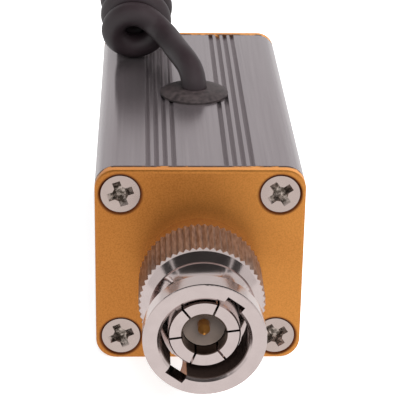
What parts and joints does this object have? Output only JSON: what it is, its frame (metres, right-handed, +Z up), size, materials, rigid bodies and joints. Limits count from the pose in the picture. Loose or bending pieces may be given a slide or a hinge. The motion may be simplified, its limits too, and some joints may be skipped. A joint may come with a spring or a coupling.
{
  "type": "video surge protector",
  "caption": "In-line coaxial surge protector: square extruded case between screwed plates, bayonet plug in front, bayonet jack behind, coiled earth lead from the top.",
  "frame": {"origin": "middle of the case's bottom face, at the level of the surface that it rests on", "axes": "+Z up, -Y the way the plug points, +Y towards the jack, +X to the right seen from the plug"},
  "size_m": [0.0263, 0.1207, 0.0384],
  "materials": {
    "grey_anodised": "satin anodised, fine lengthwise lines",
    "gold_anodised": "orange-gold satin anodised",
    "nickel_plate": "brass turned and nickel plated, bright",
    "gold_plate": "gold plated",
    "screw_steel": "nickel plated steel",
    "spring_steel": "plain spring steel",
    "insulator_plastic": "waxy white fluoroplastic",
    "gasket_rubber": "soft silicone",
    "grommet_rubber": "matte black rubber",
    "lead_jacket": "black soft sheath",
    "copper_core": "bare stranded copper",
    "board_laminate": "green solder mask",
    "tube_ceramic": "pale ceramic with tinned rims",
    "resistor_lacquer": "beige lacquer",
    "diode_case": "black moulding",
    "tie_nylon": "natural nylon",
    "tin_plate": "copper, tin plated",
    "shrink_sleeve": "black shrink sleeve"
  },
  "bodies": {
    "case": {"housing": "grey_anodised", "front_plate": "gold_anodised", "rear_plate": "gold_anodised", "front_screws": "screw_steel", "rear_screws": "screw_steel", "plug_body": "nickel_plate", "plug_insulator": "insulator_plastic", "plug_pin": "gold_plate", "plug_gasket": "gasket_rubber", "wave_spring": "spring_steel", "retaining_ring": "spring_steel", "plug_lock_washer": "spring_steel", "plug_mounting_nut": "nickel_plate", "jack_body": "nickel_plate", "jack_insulator": "insulator_plastic", "jack_contact": "gold_plate", "jack_lock_washer": "spring_steel", "jack_mounting_nut": "nickel_plate", "earth_tag": "tin_plate", "earth_link": "tin_plate", "circuit_board": "board_laminate", "gas_tube": "tube_ceramic", "series_resistors": "resistor_lacquer", "clamp_diode": "diode_case", "grommet": "grommet_rubber", "lead_inner": "lead_jacket", "lead_core": "copper_core", "lead_tie": "tie_nylon", "lead_tail": "lead_jacket", "lead_coil": "lead_jacket", "lead_drop": "lead_jacket", "ring_terminal": "tin_plate", "terminal_sleeve": "shrink_sleeve"},
    "washer": {"thrust_washer": "spring_steel"},
    "nut": {"coupling_nut": "nickel_plate"}
  },
  "joints": [
    {"name": "nut_slide", "type": "slide", "parent": "case", "child": "washer", "axis": [0, -1, 0], "range_m": [0, 0.0009], "stiffness_N_per_m": 5000, "springref_m": -0.001, "deforming": ["wave_spring"]},
    {"name": "nut_turn", "type": "hinge", "parent": "washer", "child": "nut", "pos_m": [0, -0.0375, 0.0125], "axis": [0, -1, 0], "continuous": true}
  ]
}
